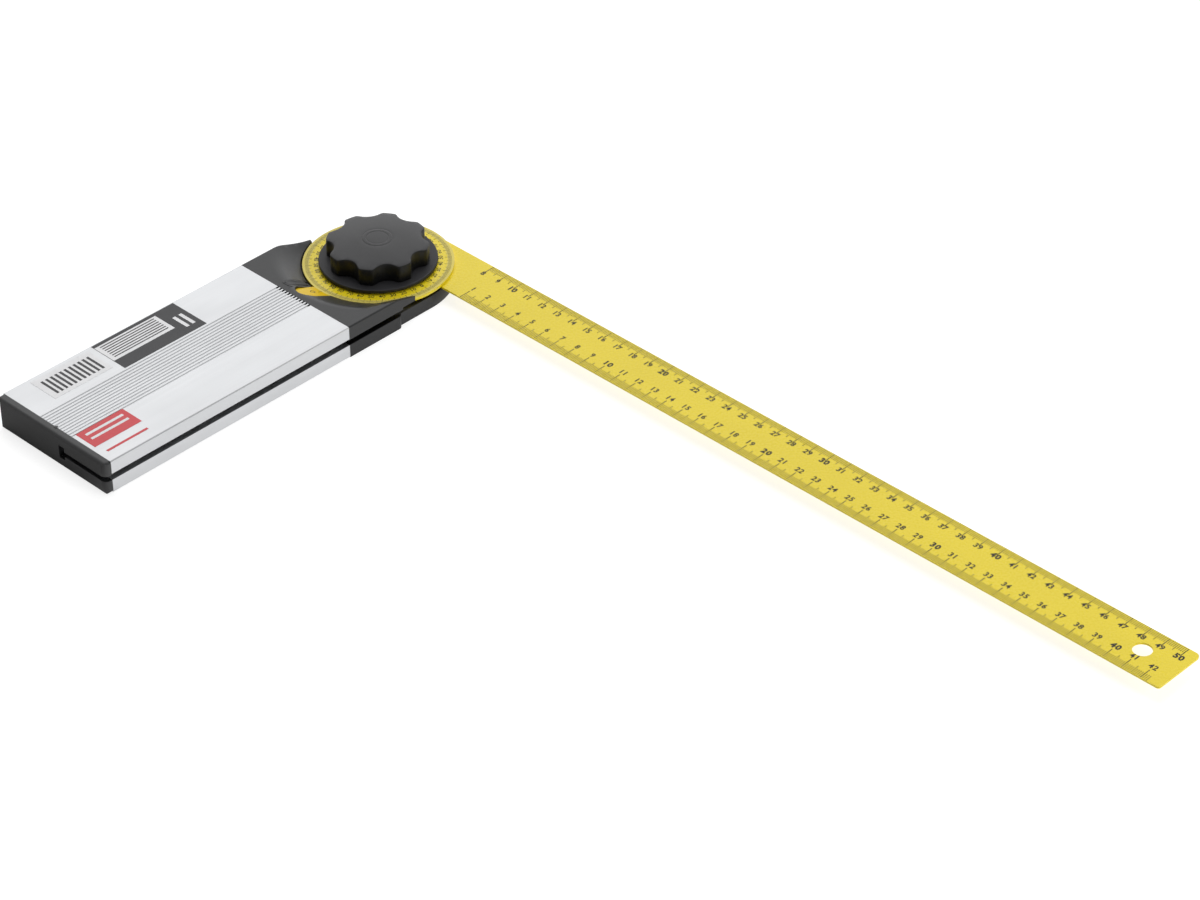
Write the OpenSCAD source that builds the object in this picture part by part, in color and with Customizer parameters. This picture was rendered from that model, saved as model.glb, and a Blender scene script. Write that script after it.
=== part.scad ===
// Adjustable protractor: alloy stock, moulded pivot head, folding rule blade, clamp knob.
// Pivot axis at x = y = 0, blade along +X, stock along -Y, underside of the stock at z = 0.

/* [Stock] */
// Width of the stock, the head and the end cap
stock_w = 76.4; // [74:0.2:80]
// How far the stock is set towards the blade side of the pivot
stock_shift = 0.8; // [0:0.1:1.5]
// Length of the alloy extrusion
stock_len = 146.2; // [100:0.2:240]
// Height of the stock, the head and the end cap
stock_h = 17.2; // [16.6:0.1:18]
// Distance from the pivot axis to the joint between head and extrusion
head_back = 55.5; // [54.5:0.5:62]
// Wall of the extrusion on its outer sides
stock_wall = 1.9; // [1.4:0.1:2.2]
// Wall of the extrusion above and below the blade slot
slot_wall = 1.4; // [1:0.1:1.8]
// Radius on the long edges of the extrusion and the head
edge_r = 0.7; // [0.3:0.1:1]
// Number of grooves in the grip band
groove_count = 12; // [4:2:14]
// Spacing of the grooves
groove_pitch = 2.0; // [1.6:0.1:2.2]
// Width of one groove at the surface
groove_w = 1.1; // [0.6:0.1:1.3]
// Depth of one groove
groove_d = 0.9; // [0.4:0.1:1]

/* [Blade slot] */
// Height of the slot floor
slot_z = 7; // [6.8:0.1:7.1]
// Height of the slot opening in the extrusion
slot_h = 3.35; // [3.2:0.05:3.6]
// Distance from the pivot axis to the closed side of the slot
slot_in = 6.2; // [5.6:0.1:6.6]

/* [Blade] */
// Distance from the pivot axis to the free end of the blade
blade_len = 468.9; // [300:0.1:520]
// Width of the blade
blade_w = 29.5; // [24:0.5:29.5]
// Thickness of the blade
blade_t = 1; // [0.8:0.1:1.2]
// Radius of the round root that turns in the head
root_r = 35; // [30:0.5:36]
// Radius of the outer corner at the free end
tip_outer_r = 2.5; // [1:0.5:6]
// Radius of the inner corner at the free end
tip_inner_r = 1.5; // [0.5:0.5:6]
// Diameter of the hanging hole
hang_d = 9; // [5:0.5:12]
// Distance from the free end to the centre of the hanging hole
hang_in = 20.5; // [12:0.5:30]
// Distance from the outer edge of the blade to the centre of the hanging hole
hang_edge = 14.1; // [10:0.1:16]

/* [Dial] */
// Radius of the degree dial
dial_r = 37; // [36.5:0.1:37.2]
// Thickness of the degree dial
dial_t = 1.5; // [1.2:0.1:1.6]
// Number of rivets through dial and blade
rivet_count = 3; // [2:1:6]
// Radius of the rivet circle
rivet_ring = 20; // [16:0.5:24]
// Diameter of a rivet shank
rivet_d = 3; // [2:0.5:4]
// Diameter of a rivet head
rivet_head_d = 5; // [4.5:0.5:6]
// Share of the sheet thickness taken by a rivet head
rivet_cone = 0.6; // [0.4:0.1:0.8]
// Extra width of the rivet holes
rivet_gap = 0.06; // [0.02:0.02:0.1]
// Angle of the first rivet from the blade
rivet_turn = 60; // [30:5:60]

/* [Head] */
// Gap between the dial and the wall of its recess
dial_gap = 0.8; // [0.6:0.1:1.4]
// Radius where the dish meets the flat top on the blade side of the pointer
dish_top_r = 53.5; // [52:0.5:54]
// Radius where the dish meets the flat top on the far side of the pointer
far_top_r = 52.7; // [51:0.1:53]
// Height of the dish edge at the recess, on the blade side of the pointer
near_dish_z = 10.9; // [10.6:0.1:11.2]
// Slope of the dish on the blade side
near_slope = 25; // [24.5:0.5:28]
// Height of the dish edge at the recess, on the far side of the pointer
far_dish_z = 9.5; // [9.4:0.1:10.4]
// Slope of the dish on the far side
far_slope = 34; // [30:1:36]
// Width of the channel beside the pointer
channel_w = 5.5; // [4:0.5:9]
// Height of the channel at the recess
channel_z = 10; // [9.8:0.1:10.4]
// Slope of the channel
channel_slope = 29; // [27:0.5:30]
// Height of the roof of the slot in the head
roof_z = 10; // [9.8:0.1:10]
// Direction that the flat of the near tip faces
flat_turn = 24; // [20:1:30]
// Slope of the flat of the near tip
flat_slope = 30.5; // [28:0.5:32]
// Height of the flat of the near tip at the recess
flat_z = 12.3; // [11.5:0.1:12.5]
// How far the near tip of the upper cheek ends short of the pivot axis
tip_y = 12.5; // [11:0.5:16]
// How far the far tip of the upper cheek ends short of the pivot axis
far_tip_y = 10.5; // [10:0.5:16]
// Start of the notch under the near tip, from the pivot axis
notch_y = 20.5; // [18:0.5:24]
// Height of the notch above the slot
notch_h = 1.2; // [0.5:0.1:1.3]
// Half width and end radius of the lower cheek under the dial
neck_r = 37.2; // [36:0.1:37.5]
// Where the lower cheek steps in, from the pivot axis
step_y = 20.4; // [18:0.2:24]
// Radius of the two corners at that step, seen from above
step_r = 3; // [1.5:0.5:4]
// Height of the joint between the two cheeks
split_z = 8.6; // [8:0.2:9.6]
// Length of the spigots that enter the extrusion
spigot_len = 12; // [8:1:20]
// Gap around the spigots
spigot_gap = 0.1; // [0.05:0.05:0.2]

/* [Pointer] */
// Width of the pointer tongue
pointer_w = 12.3; // [8:0.1:12.4]
// Distance from the pivot axis to the end of the pointer
pointer_end = 52; // [48:0.5:53]
// Thickness of the pointer
pointer_t = 1.2; // [0.8:0.1:1.2]
// Height of the top of the pointer where it leaves the dial
pointer_z = 10.4; // [10.2:0.1:10.6]
// Slope of the pointer
pointer_slope = 21.8; // [18:0.2:24]
// Gap around the pointer
pointer_gap = 0.1; // [0.05:0.05:0.15]
// Gap under the pointer
pointer_bed = 0.02; // [0.01:0.01:0.05]
// Gap between the pointer and the edge of the dial
pointer_root = 0.3; // [0.2:0.1:0.4]

/* [End cap] */
// Thickness of the end cap
cap_t = 4; // [3:0.5:8]
// Radius on the long edges of the end cap
cap_edge_r = 1.8; // [1:0.1:2]
// Radius on the upright corners of the end cap
cap_corner_r = 3; // [1:0.1:3]
// Height of the floor of the cap slot
cap_slot_z = 7; // [6.8:0.1:7.1]
// Height of the cap slot
cap_slot_h = 2.7; // [2.4:0.1:3.2]
// Width of the tall end of the cap slot
cap_tee_w = 3.9; // [3:0.1:6]
// Height of the tall end of the cap slot
cap_tee_h = 7; // [5:0.5:9]
// How far the tall end sits above the middle of the cap slot
cap_tee_rise = 0.2; // [0:0.1:0.4]
// How far the cap slot starts inside the closed side of the blade slot
cap_slot_in = 0.2; // [0.1:0.1:0.4]
// Length of the small nib over the extrusion
nib_len = 1.1; // [0.6:0.1:2]
// Width of the small nib
nib_w = 1.6; // [1:0.1:3]
// Rise of the small nib over the extrusion
nib_rise = 0.2; // [0.1:0.05:0.4]

/* [Pivot] */
// Diameter of the clamp bolt
bolt_d = 8; // [6:0.5:8]
// Diameter of the bolt head
bolt_head_d = 22; // [16:1:26]
// Thickness of the bolt head
bolt_head_t = 2.6; // [2:0.2:3]
// Height of the top of the bolt
bolt_top = 20; // [18.5:0.5:20]
// Chamfer at the top of the bolt
bolt_chamfer = 1; // [0.6:0.1:1.2]
// How far the square neck of the bolt ends below the washer seat
neck_short = 0.4; // [0.2:0.1:0.8]
// Running gap between bolt, bush and the parts that turn on them
run_gap = 0.05; // [0.03:0.01:0.08]
// Wall of the pivot bush
bush_wall = 1.4; // [1:0.1:2]
// Radius of the friction washers
friction_r = 26; // [22:0.5:26.5]
// Thickness of the friction washers
friction_t = 0.5; // [0.4:0.1:0.6]
// Depth of the seat of the lower friction washer under the slot floor
seat_sink = 0.35; // [0.3:0.05:0.4]
// Gap between a washer and the post in its hole
washer_gap = 0.1; // [0.05:0.05:0.2]
// Gap around the washers in their seats
seat_gap = 0.3; // [0.2:0.1:0.4]
// How far the bush stands above the dial
bush_stand = 0.2; // [0.1:0.05:0.3]

/* [Clamp] */
// Radius of the clamp flange
flange_r = 29.1; // [27.5:0.1:31]
// Height of the flange above the upper friction washer
flange_t = 2.1; // [1.8:0.1:2.6]
// Radius on the upper edge of the flange
flange_edge_r = 0.6; // [0.3:0.1:0.8]
// How far the flange rim clears the dial
rim_clear = 0.9; // [0.7:0.1:1]
// Thickness of the spring washer
spring_t = 0.5; // [0.4:0.1:0.6]
// Thickness of the thrust washer
thrust_t = 0.8; // [0.6:0.1:1]
// Radius of the thrust washer
thrust_r = 8.5; // [7.5:0.5:9.5]
// How much smaller the spring washer is
spring_in = 0.5; // [0.3:0.1:1]
// How far the thrust washer stands above the flange
thrust_stand = 0.1; // [0.05:0.05:0.15]

/* [Knob] */
// Radius to the crests of the lobes
knob_r = 25.2; // [24.4:0.2:25.8]
// Radius to the bottoms of the scallops
scallop_r = 21.4; // [20:0.2:22]
// Number of lobes
lobe_count = 8; // [6:1:9]
// Radius of the arcs at the corners of a lobe
lobe_r = 5; // [4.4:0.1:5.6]
// Distance from the axis to the centre of those arcs
lobe_c = 21; // [20.4:0.1:21.4]
// How far a scallop cuts into the arcs of the lobes beside it
scallop_bite = 0.02; // [0.01:0.01:0.05]
// Angle of one lobe from the blade
lobe_angle = 33.5; // [0:0.5:45]
// Height of the knob from its foot to the edge of the dome
knob_wall_h = 8.9; // [7:0.1:11]
// Rise of the dome above its edge
dome_h = 2.4; // [1:0.1:4]
// Gap between the knob foot and the flange when clamped
knob_gap = 0.2; // [0.1:0.1:0.3]
// Radius of the hub inside the knob
hub_r = 10; // [9:0.5:12]
// Wall thickness of the knob shell
shell_t = 2.4; // [2:0.2:3]
// Depth of the hollow from the knob foot
hollow_d = 6.5; // [4:0.5:7.5]
// Radius of the threaded insert
insert_r = 6; // [5.5:0.5:7]
// Length of the threaded insert
insert_len = 7; // [5:0.5:8]
// Gap around the threaded insert
insert_gap = 0.05; // [0.03:0.01:0.08]
// Depth of the relief in the knob foot around the thrust washer
foot_relief = 0.6; // [0.3:0.1:1]
// Extra radius of the knob bore around the bolt
bore_gap = 0.2; // [0.1:0.1:0.4]
// Free height above the bolt inside the knob
bore_room = 0.8; // [0.4:0.2:1]
// Radius of the centre disc
disc_r = 5.4; // [4:0.2:6]
// Depth of the centre disc
disc_t = 1.6; // [1:0.2:2]
// How far the centre disc stands above the dome
disc_rise = 0.2; // [0.1:0.05:0.3]
// Gap around the centre disc
disc_gap = 0.1; // [0.05:0.05:0.15]
// Distance from the centre disc to the fine groove around it
ring_out = 1.2; // [0.8:0.1:2]
// Radius of the fine groove
ring_r = 0.35; // [0.2:0.05:0.5]

/* [Screws] */
// Diameter of the screw shanks
screw_d = 3; // [2.5:0.5:3.5]
// Diameter of the screw heads
screw_head_d = 5.6; // [5:0.2:6.5]
// Thickness of the screw heads
screw_head_t = 1.8; // [1.4:0.1:2.2]
// Width of the cross in the screw heads
cross_w = 0.8; // [0.6:0.1:1.2]
// Depth of the cross in the screw heads
cross_d = 0.9; // [0.5:0.1:1.1]
// Extra width of the screw holes
screw_gap = 0.1; // [0.05:0.05:0.2]
// Extra width of the seats of the screw heads and the bolt head
head_gap = 0.2; // [0.1:0.1:0.4]
// Length of the two screws that join the cheeks
cheek_screw_len = 10; // [8:1:12]
// Depth of the seat of the screws that join the cheeks
screw_sink = 3.4; // [2.4:0.2:4]
// Distance of the far cheek screw from the far edge
cheek_screw_side = 9.4; // [7:0.2:12]
// Distance of the cheek screws in front of the head joint
cheek_screw_in = 6; // [5:0.5:9]
// Distance of the stock screws behind the head joint
stock_screw_in = 6; // [4:0.5:8]

/* [Hidden] */
$fn = 96;
// Fineness of the large arc of the dome
dome_fn = 360;
// Small overshoot that keeps cuts clean
over = 0.5;
// Hair gap that keeps two equal walls apart
hair = 0.01;
x_far = stock_shift - stock_w / 2;
x_near = stock_shift + stock_w / 2;
slot_top = slot_z + slot_h;
tee_z = cap_slot_z + (cap_slot_h - cap_tee_h) / 2 + cap_tee_rise;
cap_slot_x = slot_in + cap_slot_in;
cap_start = head_back + stock_len;
cap_end = cap_start + cap_t;
// Chambers of the extrusion
core_z0 = stock_wall;
core_z1 = stock_h - stock_wall;
low_z1 = slot_z - slot_wall;
high_z0 = slot_top + slot_wall;
far_x0 = x_far + stock_wall;
far_x1 = slot_in - 2 * slot_wall;
web_x = (far_x0 + far_x1) / 2;
near_x0 = far_x1 + slot_wall;
near_x1 = x_near - stock_wall;
// Stack on the pivot
seat_z = slot_z - seat_sink;
blade_z = seat_z + friction_t;
dial_z = blade_z + blade_t;
dial_top = dial_z + dial_t;
flange_z = dial_top + friction_t;
flange_top = flange_z + flange_t;
recess_r = dial_r + dial_gap;
hole_r = bolt_d / 2 + run_gap;
bush_r = hole_r + bush_wall;
blade_outer = dial_r;
blade_inner = dial_r - blade_w;
thrust_z = flange_top - thrust_t + thrust_stand;
spring_z = thrust_z - spring_t;
knob_z = flange_top + knob_gap;
insert_z = thrust_z + thrust_t;
knob_edge_z = knob_z + knob_wall_h;
dome_z = knob_edge_z + dome_h;
dome_r = (knob_r * knob_r + dome_h * dome_h) / (2 * dome_h);
// Lobe arcs and scallop arcs run into each other where they meet
lobe_half = 180 / lobe_count;
scallop_q = (lobe_c * lobe_c + scallop_r * scallop_r - lobe_r * lobe_r
    - 2 * lobe_c * scallop_r * cos(lobe_half))
    / (2 * (lobe_r - scallop_r + lobe_c * cos(lobe_half)));
scallop_c = scallop_r + scallop_q;
touch_r = sqrt((lobe_c * lobe_c * scallop_q + scallop_c * scallop_c * lobe_r)
    / (scallop_q + lobe_r) - scallop_q * lobe_r) - scallop_bite;
// Radius of the arc over which a dish of a given slope runs into the flat top
function dish_arc(z, slope, top_r) = (stock_h - z - (top_r - recess_r) * tan(slope))
    / (1 - cos(slope) - sin(slope) * tan(slope));
// Places of the screws from below
cheek_screw_x = [x_far + cheek_screw_side, (x_far + slot_in) / 2];
stock_screw_x = [(far_x0 + web_x) / 2, (near_x0 + near_x1) / 2];
stock_head_t = min(screw_head_t, stock_wall);
stock_screw_z = core_z0 + spigot_gap - stock_head_t;
// Size of the large cutting blocks
reach = 4 * head_back;

// Box between two corners
module span(a, b) {
    translate(a) cube(b - a);
}

// Plate on the XZ plane drawn in 2D, run from y0 back to y1
module run_y(y0, y1) {
    translate([0, y0, 0]) rotate([90, 0, 0]) linear_extrude(y0 - y1) children();
}

// Rectangle with rounded lower and upper pairs of corners; a radius of 0 leaves them square
module soft_rect(x0, x1, y0, y1, r_low, r_high) {
    translate([x0, y0 + r_low]) square([x1 - x0, y1 - y0 - r_low - r_high]);
    if (r_low > 0) {
        translate([x0 + r_low, y0]) square([x1 - x0 - 2 * r_low, r_low]);
        for (x = [x0 + r_low, x1 - r_low]) translate([x, y0 + r_low]) circle(r_low);
    }
    if (r_high > 0) {
        translate([x0 + r_high, y1 - r_high]) square([x1 - x0 - 2 * r_high, r_high]);
        for (x = [x0 + r_high, x1 - r_high]) translate([x, y1 - r_high]) circle(r_high);
    }
}

module ring(r_out, r_in, z0, z1) {
    difference() {
        translate([0, 0, z0]) cylinder(h = z1 - z0, r = r_out);
        translate([0, 0, z0 - over]) cylinder(h = z1 - z0 + 2 * over, r = r_in);
    }
}

module grooves() {
    for (i = [0 : groove_count - 1]) {
        x = stock_shift + (i - (groove_count - 1) / 2) * groove_pitch;
        translate([x, 0]) polygon([[-groove_w / 2, over], [-groove_w / 2, 0],
            [0, -groove_d], [groove_w / 2, 0], [groove_w / 2, over]]);
    }
}

// Hollows of the extrusion, drawn on the XZ plane and shrunk by a gap for the spigots
module chambers(gap) {
    for (c = [[far_x0, web_x - slot_wall / 2, core_z0, core_z1],
              [web_x + slot_wall / 2, far_x1, core_z0, core_z1],
              [near_x0, near_x1, core_z0, low_z1],
              [near_x0, near_x1, high_z0, core_z1]])
        translate([c[0] + gap, c[2] + gap])
            square([c[1] - c[0] - 2 * gap, c[3] - c[2] - 2 * gap]);
}

module stock_profile() {
    color("#c9cbce") difference() {
        run_y(-head_back, -cap_start) difference() {
            soft_rect(x_far, x_near, 0, stock_h, edge_r, edge_r);
            chambers(0);
            translate([slot_in, slot_z]) square([x_near - slot_in + over, slot_h]);
            translate([0, stock_h]) grooves();
            mirror([0, 1]) grooves();
        }
        stock_places() screw_room();
    }
}

module end_cap() {
    color("#2b2c2e") {
        difference() {
            union() {
                intersection() {
                    run_y(-cap_start, -cap_end)
                        soft_rect(x_far, x_near, 0, stock_h, cap_edge_r, cap_edge_r);
                    linear_extrude(stock_h)
                        soft_rect(x_far, x_near, -cap_end, -cap_start, cap_corner_r, 0);
                    rotate([90, 0, 90]) translate([0, 0, x_far]) linear_extrude(stock_w)
                        cap_side();
                }
                run_y(-cap_start + spigot_len, -cap_start - over) chambers(spigot_gap);
                translate([stock_shift, -cap_start, stock_h]) nib();
            }
            span([cap_slot_x, -cap_end - over, cap_slot_z],
                [x_near + over, -cap_start + spigot_len + over, cap_slot_z + cap_slot_h]);
            span([cap_slot_x, -cap_end - over, tee_z],
                [cap_slot_x + cap_tee_w, -cap_start, tee_z + cap_tee_h]);
        }
    }
}

// Side view of the end cap with its rounded outer edges
module cap_side() {
    translate([-cap_end + cap_edge_r, 0]) square([cap_t - cap_edge_r, stock_h]);
    translate([-cap_end, cap_edge_r]) square([cap_t, stock_h - 2 * cap_edge_r]);
    for (z = [cap_edge_r, stock_h - cap_edge_r])
        translate([-cap_end + cap_edge_r, z]) circle(cap_edge_r);
}

// Small point of the cap that lies on the top of the extrusion
module nib() {
    difference() {
        translate([0, 0, -nib_rise * 2]) linear_extrude(nib_rise * 3)
            polygon([[-nib_w / 2, -nib_w / 2], [nib_w / 2, -nib_w / 2], [nib_w / 2, 0],
                [0, nib_len], [-nib_w / 2, 0]]);
        span([-nib_w, 0, -nib_rise * 3], [nib_w, nib_len + over, 0]);
    }
}

module screw_room() {
    translate([0, 0, -over]) cylinder(h = stock_wall + 2 * over, d = screw_head_d + head_gap);
}

// Plan of the lower cheek
module lower_plan() {
    soft_rect(x_far, x_near, -head_back, -step_y, 0, step_r);
    translate([-neck_r, -head_back]) square([2 * neck_r, head_back]);
    circle(neck_r);
}

module cheek_places() {
    for (x = cheek_screw_x) translate([x, -head_back + cheek_screw_in, 0]) children();
}

module stock_places() {
    for (x = stock_screw_x) translate([x, -head_back - stock_screw_in, 0]) children();
}

module head_lower() {
    color("#46484b") difference() {
        union() {
            linear_extrude(slot_z) lower_plan();
            // Bridge to the upper cheek
            difference() {
                span([x_far, -head_back, slot_z - over], [slot_in, -step_y - step_r, split_z]);
                cylinder(h = stock_h, r = recess_r);
            }
            // Spigots below the split
            intersection() {
                run_y(-head_back + over, -head_back - spigot_len) chambers(spigot_gap);
                span([x_far, -head_back - spigot_len, 0],
                    [x_near, -head_back + over, split_z - spigot_gap]);
            }
        }
        translate([0, 0, seat_z]) cylinder(h = over, r = friction_r + seat_gap);
        translate([0, 0, -over]) cylinder(h = over + bolt_head_t, d = bolt_head_d + head_gap);
        translate([-bolt_d / 2 - run_gap, -bolt_d / 2 - run_gap, 0])
            cube([bolt_d + 2 * run_gap, bolt_d + 2 * run_gap, slot_z + over]);
        cheek_places() {
            translate([0, 0, -over]) cylinder(h = over + screw_sink, d = screw_head_d + head_gap);
            cylinder(h = split_z + over, d = screw_d + screw_gap);
        }
        stock_places() cylinder(h = low_z1 + over, d = screw_d + screw_gap);
    }
}

// Everything above a dish: a cone that runs into the flat top over an arc
module above_cone(z, slope, top_r) {
    arc = dish_arc(z, slope, top_r);
    rotate_extrude() difference() {
        polygon([[0, 0], [recess_r - hair, 0], [recess_r - hair, z], [recess_r, z],
            [top_r - arc * sin(slope), stock_h - arc * (1 - cos(slope))],
            [top_r, stock_h], [top_r, stock_h + over], [0, stock_h + over]]);
        translate([top_r, stock_h - arc]) circle(arc);
    }
}

// Space above a plane that climbs away from the dial beside the pointer
module above_plane(z, slope, x0, x1) {
    translate([0, -recess_r, z]) rotate([-slope, 0, 0])
        translate([x0, -reach / 2, 0]) cube([x1 - x0, reach, reach]);
}

// What the dish, its channel and the flat of the near tip leave open
module above_dish() {
    edge = -pointer_w / 2;
    intersection() {
        above_cone(near_dish_z, near_slope, dish_top_r);
        rotate(-flat_turn) translate([recess_r, 0, flat_z]) rotate([0, -flat_slope, 0])
            translate([-reach / 2, -reach / 2, 0]) cube(reach);
        span([edge, -reach, 0], [x_near + over, over, stock_h + over]);
    }
    intersection() {
        above_cone(far_dish_z, far_slope, far_top_r);
        span([x_far - over, -reach, 0], [edge + pointer_gap, over, stock_h + over]);
    }
    above_plane(channel_z, channel_slope, edge - channel_w, edge + pointer_gap / 2);
}

// Plan of the pointer, widened by a gap
module tongue(gap) {
    r = pointer_w / 2 + gap;
    translate([0, -pointer_end + pointer_w / 2, 0]) linear_extrude(stock_h + over) {
        circle(r);
        translate([-r, 0]) square([2 * r, pointer_end - pointer_w / 2]);
    }
}

module head_upper() {
    color("#505256") difference() {
        union() {
            difference() {
                run_y(-far_tip_y, -head_back)
                    soft_rect(x_far, x_near, split_z, stock_h, 0, edge_r);
                span([slot_in, -head_back - over, split_z - over], [x_near + over, 0, roof_z]);
                span([0, -tip_y, split_z - over], [x_near + over, 0, stock_h + over]);
            }
            // Spigots above the split
            intersection() {
                run_y(-head_back + over, -head_back - spigot_len) chambers(spigot_gap);
                span([x_far, -head_back - spigot_len, split_z], [x_near, -head_back + over, stock_h]);
            }
        }
        above_dish();
        translate([0, 0, split_z - over]) cylinder(h = stock_h, r = recess_r);
        span([0, -notch_y, split_z], [x_near + over, 0, roof_z + notch_h]);
        intersection() {
            tongue(pointer_gap);
            above_plane(pointer_z - pointer_t - pointer_bed, pointer_slope, -pointer_w, pointer_w);
        }
        cheek_places() cylinder(h = screw_sink + cheek_screw_len - screw_head_t + over,
            d = screw_d + screw_gap);
    }
}

module index_pointer() {
    color("#f0b62c") difference() {
        intersection() {
            tongue(0);
            above_plane(pointer_z - pointer_t, pointer_slope, -pointer_w, pointer_w);
        }
        above_plane(pointer_z, pointer_slope, -pointer_w, pointer_w);
        translate([0, 0, -over]) cylinder(h = stock_h, r = dial_r + pointer_root);
    }
}

// Cross-head screw that points up
module screw(z, head_t, len) {
    translate([0, 0, z]) {
        difference() {
            cylinder(h = head_t, d = screw_head_d);
            for (a = [0, 90]) rotate(a) translate([-screw_head_d / 4, -cross_w / 2, -over])
                cube([screw_head_d / 2, cross_w, over + cross_d]);
        }
        translate([0, 0, head_t]) cylinder(h = len, d = screw_d);
    }
}

module cheek_screws() {
    color("#8d9094") cheek_places()
        screw(screw_sink - screw_head_t, screw_head_t, cheek_screw_len - screw_head_t);
}

module stock_screws() {
    color("#8d9094") stock_places()
        screw(stock_screw_z, stock_head_t, low_z1 - core_z0 - 2 * spigot_gap);
}

module rivet_places() {
    for (i = [0 : rivet_count - 1]) rotate(rivet_turn + i * 360 / rivet_count)
        translate([rivet_ring, 0, 0]) children();
}

module rivet(gap) {
    h = blade_t + dial_t;
    cylinder(h = h, d = rivet_d + gap);
    cylinder(h = blade_t * rivet_cone, d1 = rivet_head_d + gap, d2 = rivet_d + gap);
    translate([0, 0, h - dial_t * rivet_cone])
        cylinder(h = dial_t * rivet_cone, d1 = rivet_d + gap, d2 = rivet_head_d + gap);
}

module blade() {
    color("#e3cf45") difference() {
        translate([0, 0, blade_z]) linear_extrude(blade_t) {
            circle(root_r);
            translate([0, blade_inner]) square([blade_len - tip_outer_r, blade_w]);
            translate([0, blade_inner + tip_inner_r])
                square([blade_len, blade_w - tip_inner_r - tip_outer_r]);
            translate([0, blade_inner]) square([blade_len - tip_inner_r, blade_w / 2]);
            translate([blade_len - tip_outer_r, blade_outer - tip_outer_r]) circle(tip_outer_r);
            translate([blade_len - tip_inner_r, blade_inner + tip_inner_r]) circle(tip_inner_r);
        }
        translate([0, 0, blade_z - over]) cylinder(h = blade_t + 2 * over, r = bush_r + run_gap);
        translate([blade_len - hang_in, blade_outer - hang_edge, blade_z - over])
            cylinder(h = blade_t + 2 * over, d = hang_d);
        translate([0, 0, blade_z]) rivet_places() rivet(rivet_gap);
    }
}

module dial() {
    color("#e6c933") difference() {
        ring(dial_r, bush_r + run_gap, dial_z, dial_top);
        translate([0, 0, blade_z]) rivet_places() rivet(rivet_gap);
    }
}

module dial_rivets() {
    color("#b9bcc0") translate([0, 0, blade_z]) rivet_places() rivet(0);
}

module pivot_bolt() {
    color("#9a9da1") {
        cylinder(h = bolt_head_t, d = bolt_head_d);
        translate([-bolt_d / 2, -bolt_d / 2, 0]) cube([bolt_d, bolt_d, seat_z - neck_short]);
        cylinder(h = bolt_top - bolt_chamfer, d = bolt_d);
        translate([0, 0, bolt_top - bolt_chamfer])
            cylinder(h = bolt_chamfer, d1 = bolt_d, d2 = bolt_d - 2 * bolt_chamfer);
    }
}

module pivot_bush() {
    color("#c7a24a") ring(bush_r, hole_r, seat_z, dial_top + bush_stand);
}

module lower_friction_washer() {
    color("#dcdcd6") ring(friction_r, bush_r + washer_gap, seat_z, blade_z);
}

module upper_friction_washer() {
    color("#dcdcd6") ring(friction_r, bush_r + washer_gap, dial_top, flange_z);
}

module clamp_flange() {
    color("#37383b") difference() {
        rotate_extrude() {
            translate([0, flange_z]) square([friction_r, flange_t]);
            soft_rect(0, flange_r, dial_top + rim_clear, flange_top, 0, flange_edge_r);
        }
        translate([0, 0, flange_z - over]) cylinder(h = flange_t + 2 * over, r = hole_r);
        translate([0, 0, spring_z]) cylinder(h = flange_t + over, r = thrust_r + seat_gap);
    }
}

module spring_washer() {
    color("#a9acb0") ring(thrust_r - spring_in, hole_r + washer_gap, spring_z, thrust_z);
}

module thrust_washer() {
    color("#b4b7bb") ring(thrust_r, hole_r + washer_gap, thrust_z, insert_z);
}

// Lobed block of the knob: a core with lobe arcs, cut by the scallop arcs and the crest circle
module lobed_block(h) {
    difference() {
        intersection() {
            union() {
                cylinder(h = h, r = touch_r);
                for (i = [0 : lobe_count - 1])
                    rotate(lobe_angle + 2 * i * lobe_half)
                        translate([lobe_c, 0, 0]) cylinder(h = h, r = lobe_r);
            }
            cylinder(h = h, r = knob_r);
        }
        for (i = [0 : lobe_count - 1])
            rotate(lobe_angle + (2 * i + 1) * lobe_half)
                translate([scallop_c, 0, -over])
                    cylinder(h = h + 2 * over, r = scallop_q + scallop_bite);
    }
}

module knob() {
    color("#303134") difference() {
        translate([0, 0, knob_z]) lobed_block(knob_wall_h + dome_h);
        // Domed top
        rotate_extrude() difference() {
            translate([0, knob_edge_z - over]) square([knob_r + over, dome_h + 2 * over]);
            translate([0, dome_z - dome_r]) circle(dome_r, $fn = dome_fn);
        }
        // Hollow from below around the hub
        ring(scallop_r - shell_t, hub_r, knob_z - over, knob_z + hollow_d);
        translate([0, 0, knob_z - over]) cylinder(h = over + insert_len, r = insert_r + insert_gap);
        translate([0, 0, knob_z - over]) cylinder(h = over + foot_relief, r = thrust_r + seat_gap);
        cylinder(h = bolt_top + bore_room, r = hole_r + bore_gap);
        translate([0, 0, dome_z - disc_t]) cylinder(h = disc_t + over, r = disc_r + disc_gap);
        translate([0, 0, dome_z]) rotate_extrude() translate([disc_r + ring_out, 0]) circle(ring_r);
    }
}

module knob_insert() {
    color("#b8923a") ring(insert_r, hole_r, insert_z, knob_z + insert_len - insert_gap);
}

module knob_disc() {
    color("#3a3b3e") translate([0, 0, dome_z - disc_t])
        cylinder(h = disc_t + disc_rise, r = disc_r);
}

stock_profile();
end_cap();
head_lower();
head_upper();
index_pointer();
cheek_screws();
stock_screws();
blade();
dial();
dial_rivets();
pivot_bolt();
pivot_bush();
lower_friction_washer();
upper_friction_washer();
clamp_flange();
spring_washer();
thrust_washer();
knob();
knob_insert();
knob_disc();
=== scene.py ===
"""Looks of the adjustable protractor: finishes, printed scales, plain label blocks and studio."""

import math
from functools import cache

import bmesh
import bpy
from mathutils import Matrix, Vector

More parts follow.
